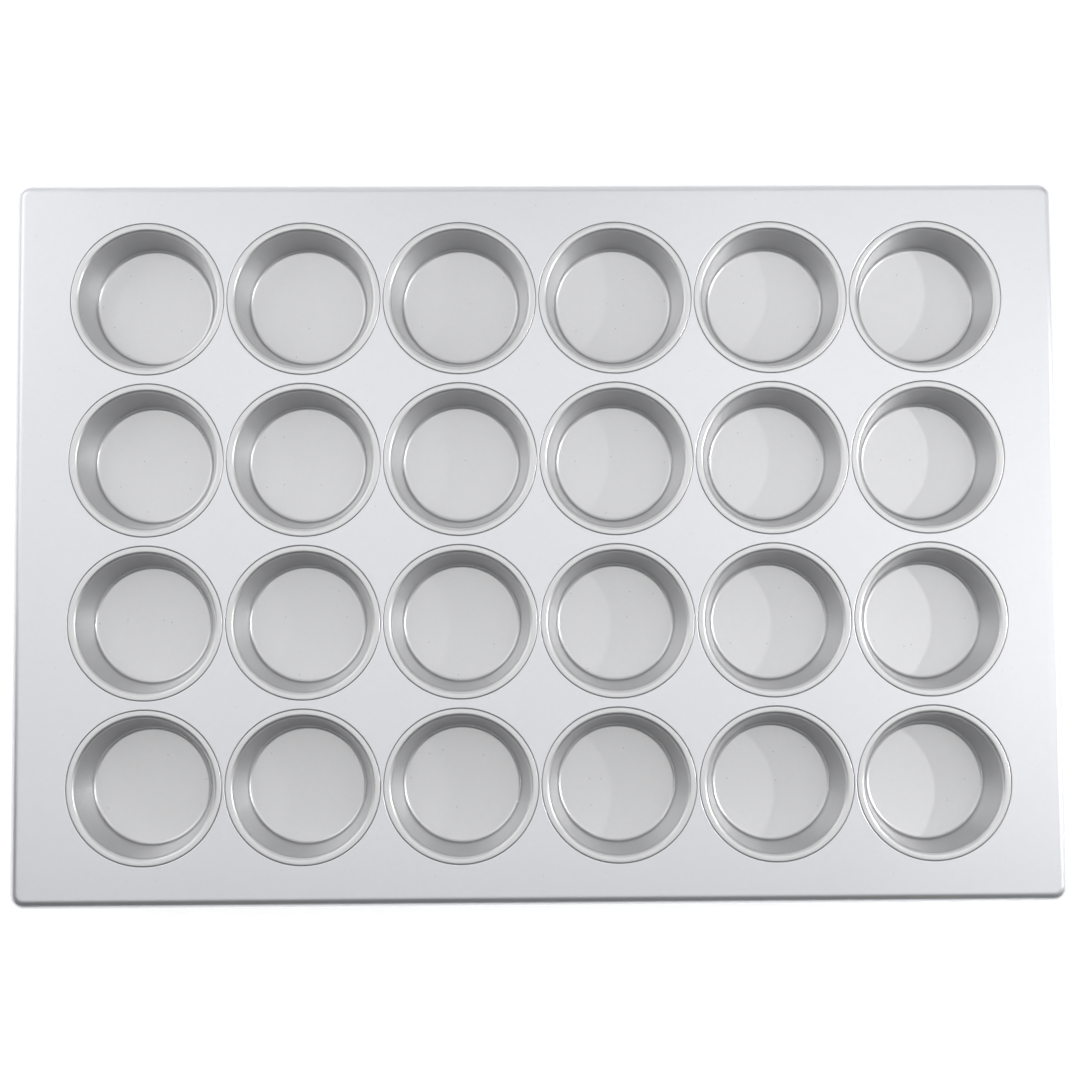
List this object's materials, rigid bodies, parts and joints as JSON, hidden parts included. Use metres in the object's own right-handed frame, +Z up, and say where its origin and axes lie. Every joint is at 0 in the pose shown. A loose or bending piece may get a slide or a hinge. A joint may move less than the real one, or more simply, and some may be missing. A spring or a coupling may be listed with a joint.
{
  "type": "muffin tin",
  "caption": "Shallow rectangular baking pan of sheet metal with a grid of separate tapered round cups seamed into its top panel and a wire-stiffened rolled rim.",
  "frame": {"origin": "centre of the footprint, on the plane that the cups stand on", "axes": "+Z up out of the cups, X along the long side, Y along the short side with the first row of cups towards +Y"},
  "size_m": [0.6572, 0.454, 0.0318],
  "materials": {
    "sheet": "satin aluminized steel sheet with a glazed surface",
    "cup": "satin aluminized steel sheet, drawn",
    "wire": "plain drawn steel wire"
  },
  "bodies": {
    "root": {"top_sheet": "sheet", "rim_wire": "wire", "cup_r1_c1": "cup", "cup_r1_c2": "cup", "cup_r1_c3": "cup", "cup_r1_c4": "cup", "cup_r1_c5": "cup", "cup_r1_c6": "cup", "cup_r2_c1": "cup", "cup_r2_c2": "cup", "cup_r2_c3": "cup", "cup_r2_c4": "cup", "cup_r2_c5": "cup", "cup_r2_c6": "cup", "cup_r3_c1": "cup", "cup_r3_c2": "cup", "cup_r3_c3": "cup", "cup_r3_c4": "cup", "cup_r3_c5": "cup", "cup_r3_c6": "cup", "cup_r4_c1": "cup", "cup_r4_c2": "cup", "cup_r4_c3": "cup", "cup_r4_c4": "cup", "cup_r4_c5": "cup", "cup_r4_c6": "cup"}
  },
  "joints": []
}
